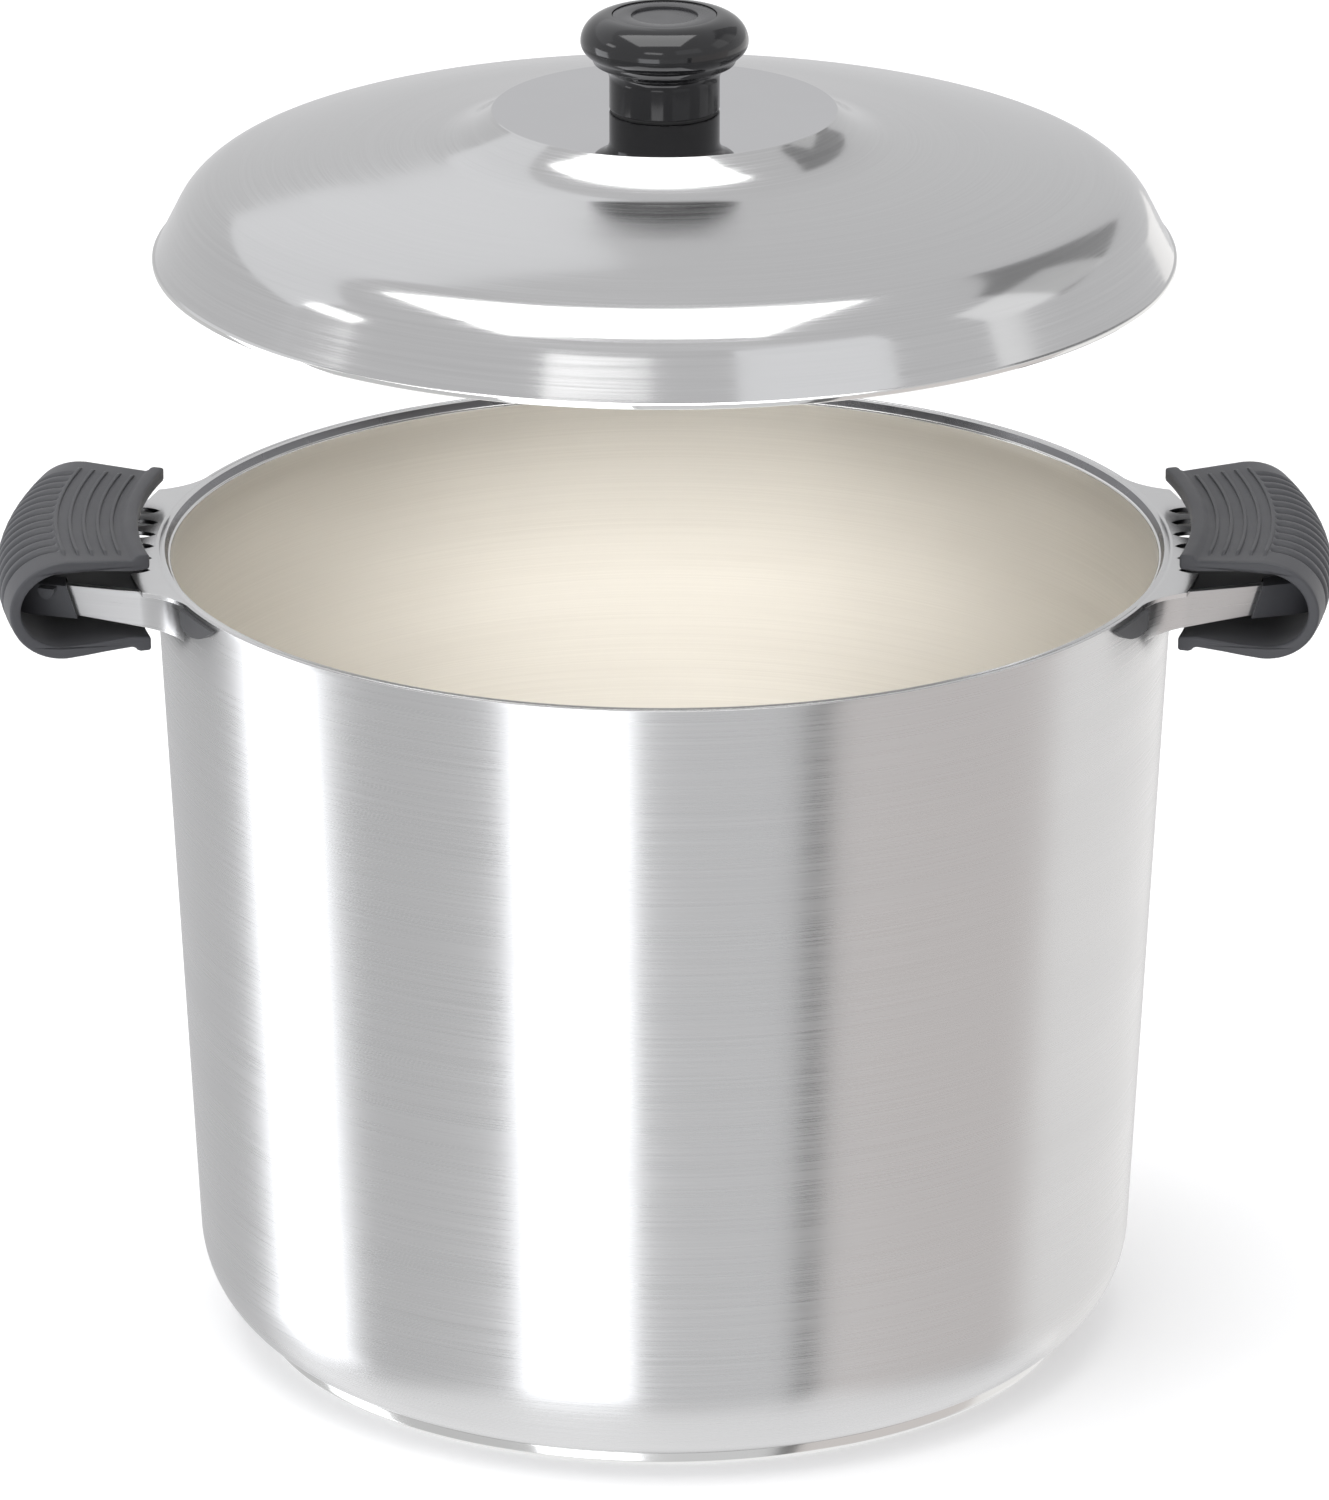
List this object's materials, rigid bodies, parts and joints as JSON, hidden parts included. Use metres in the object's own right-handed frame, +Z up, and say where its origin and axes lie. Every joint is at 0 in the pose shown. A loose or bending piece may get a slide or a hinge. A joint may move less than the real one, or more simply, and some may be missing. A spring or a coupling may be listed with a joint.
{
  "type": "pressure canner",
  "caption": "Tall tapered steel stockpot-style pressure canner with a domed lift-off lid, a round knob, band handles in silicone grips and a jar rack inside",
  "frame": {"origin": "middle of the base's flat face, on the ground", "axes": "+Z up along the pot's axis, handles at -X and +X, the side the picture shows faces -Y"},
  "size_m": [0.4306, 0.3288, 0.4416],
  "materials": {
    "brushed_steel": "horizontal brushed grain, soft shine",
    "base_steel": "bright spun steel",
    "core_aluminium": "bare pressed aluminium",
    "band_steel": "satin cast steel",
    "silicone": "matte moulded silicone with a fine texture",
    "pad_silicone": "matte silicone",
    "lid_steel": "concentric brushed dome with a polished centre",
    "knob_plastic": "glossy dark phenolic",
    "cap_plastic": "glossy dark disc",
    "insert_brass": "plain turned brass",
    "screw_steel": "zinc plated screw",
    "gasket_rubber": "matte rubber",
    "rack_aluminium": "pressed sheet, satin"
  },
  "bodies": {
    "pot": {"pot_shell": "brushed_steel", "base_core": "core_aluminium", "base_cap": "base_steel", "strap_left": "band_steel", "strap_right": "band_steel", "grip_left": "silicone", "grip_right": "silicone", "pad_left_front": "pad_silicone", "pad_left_back": "pad_silicone", "pad_right_front": "pad_silicone", "pad_right_back": "pad_silicone"},
    "lid": {"lid_shell": "lid_steel", "knob": "knob_plastic", "knob_cap": "cap_plastic", "knob_insert": "insert_brass", "knob_screw": "screw_steel", "knob_washer": "screw_steel", "knob_lock_washer": "screw_steel", "knob_gasket": "gasket_rubber"},
    "rack": {"rack_plate": "rack_aluminium", "rack_feet": "rack_aluminium"}
  },
  "joints": [
    {"name": "lid_lift", "type": "slide", "parent": "pot", "child": "lid", "axis": [0, 0, 1], "range_m": [-0.0963, 0.1]},
    {"name": "rack_lift", "type": "slide", "parent": "pot", "child": "rack", "axis": [0, 0, 1], "range_m": [0, 0.2]}
  ]
}
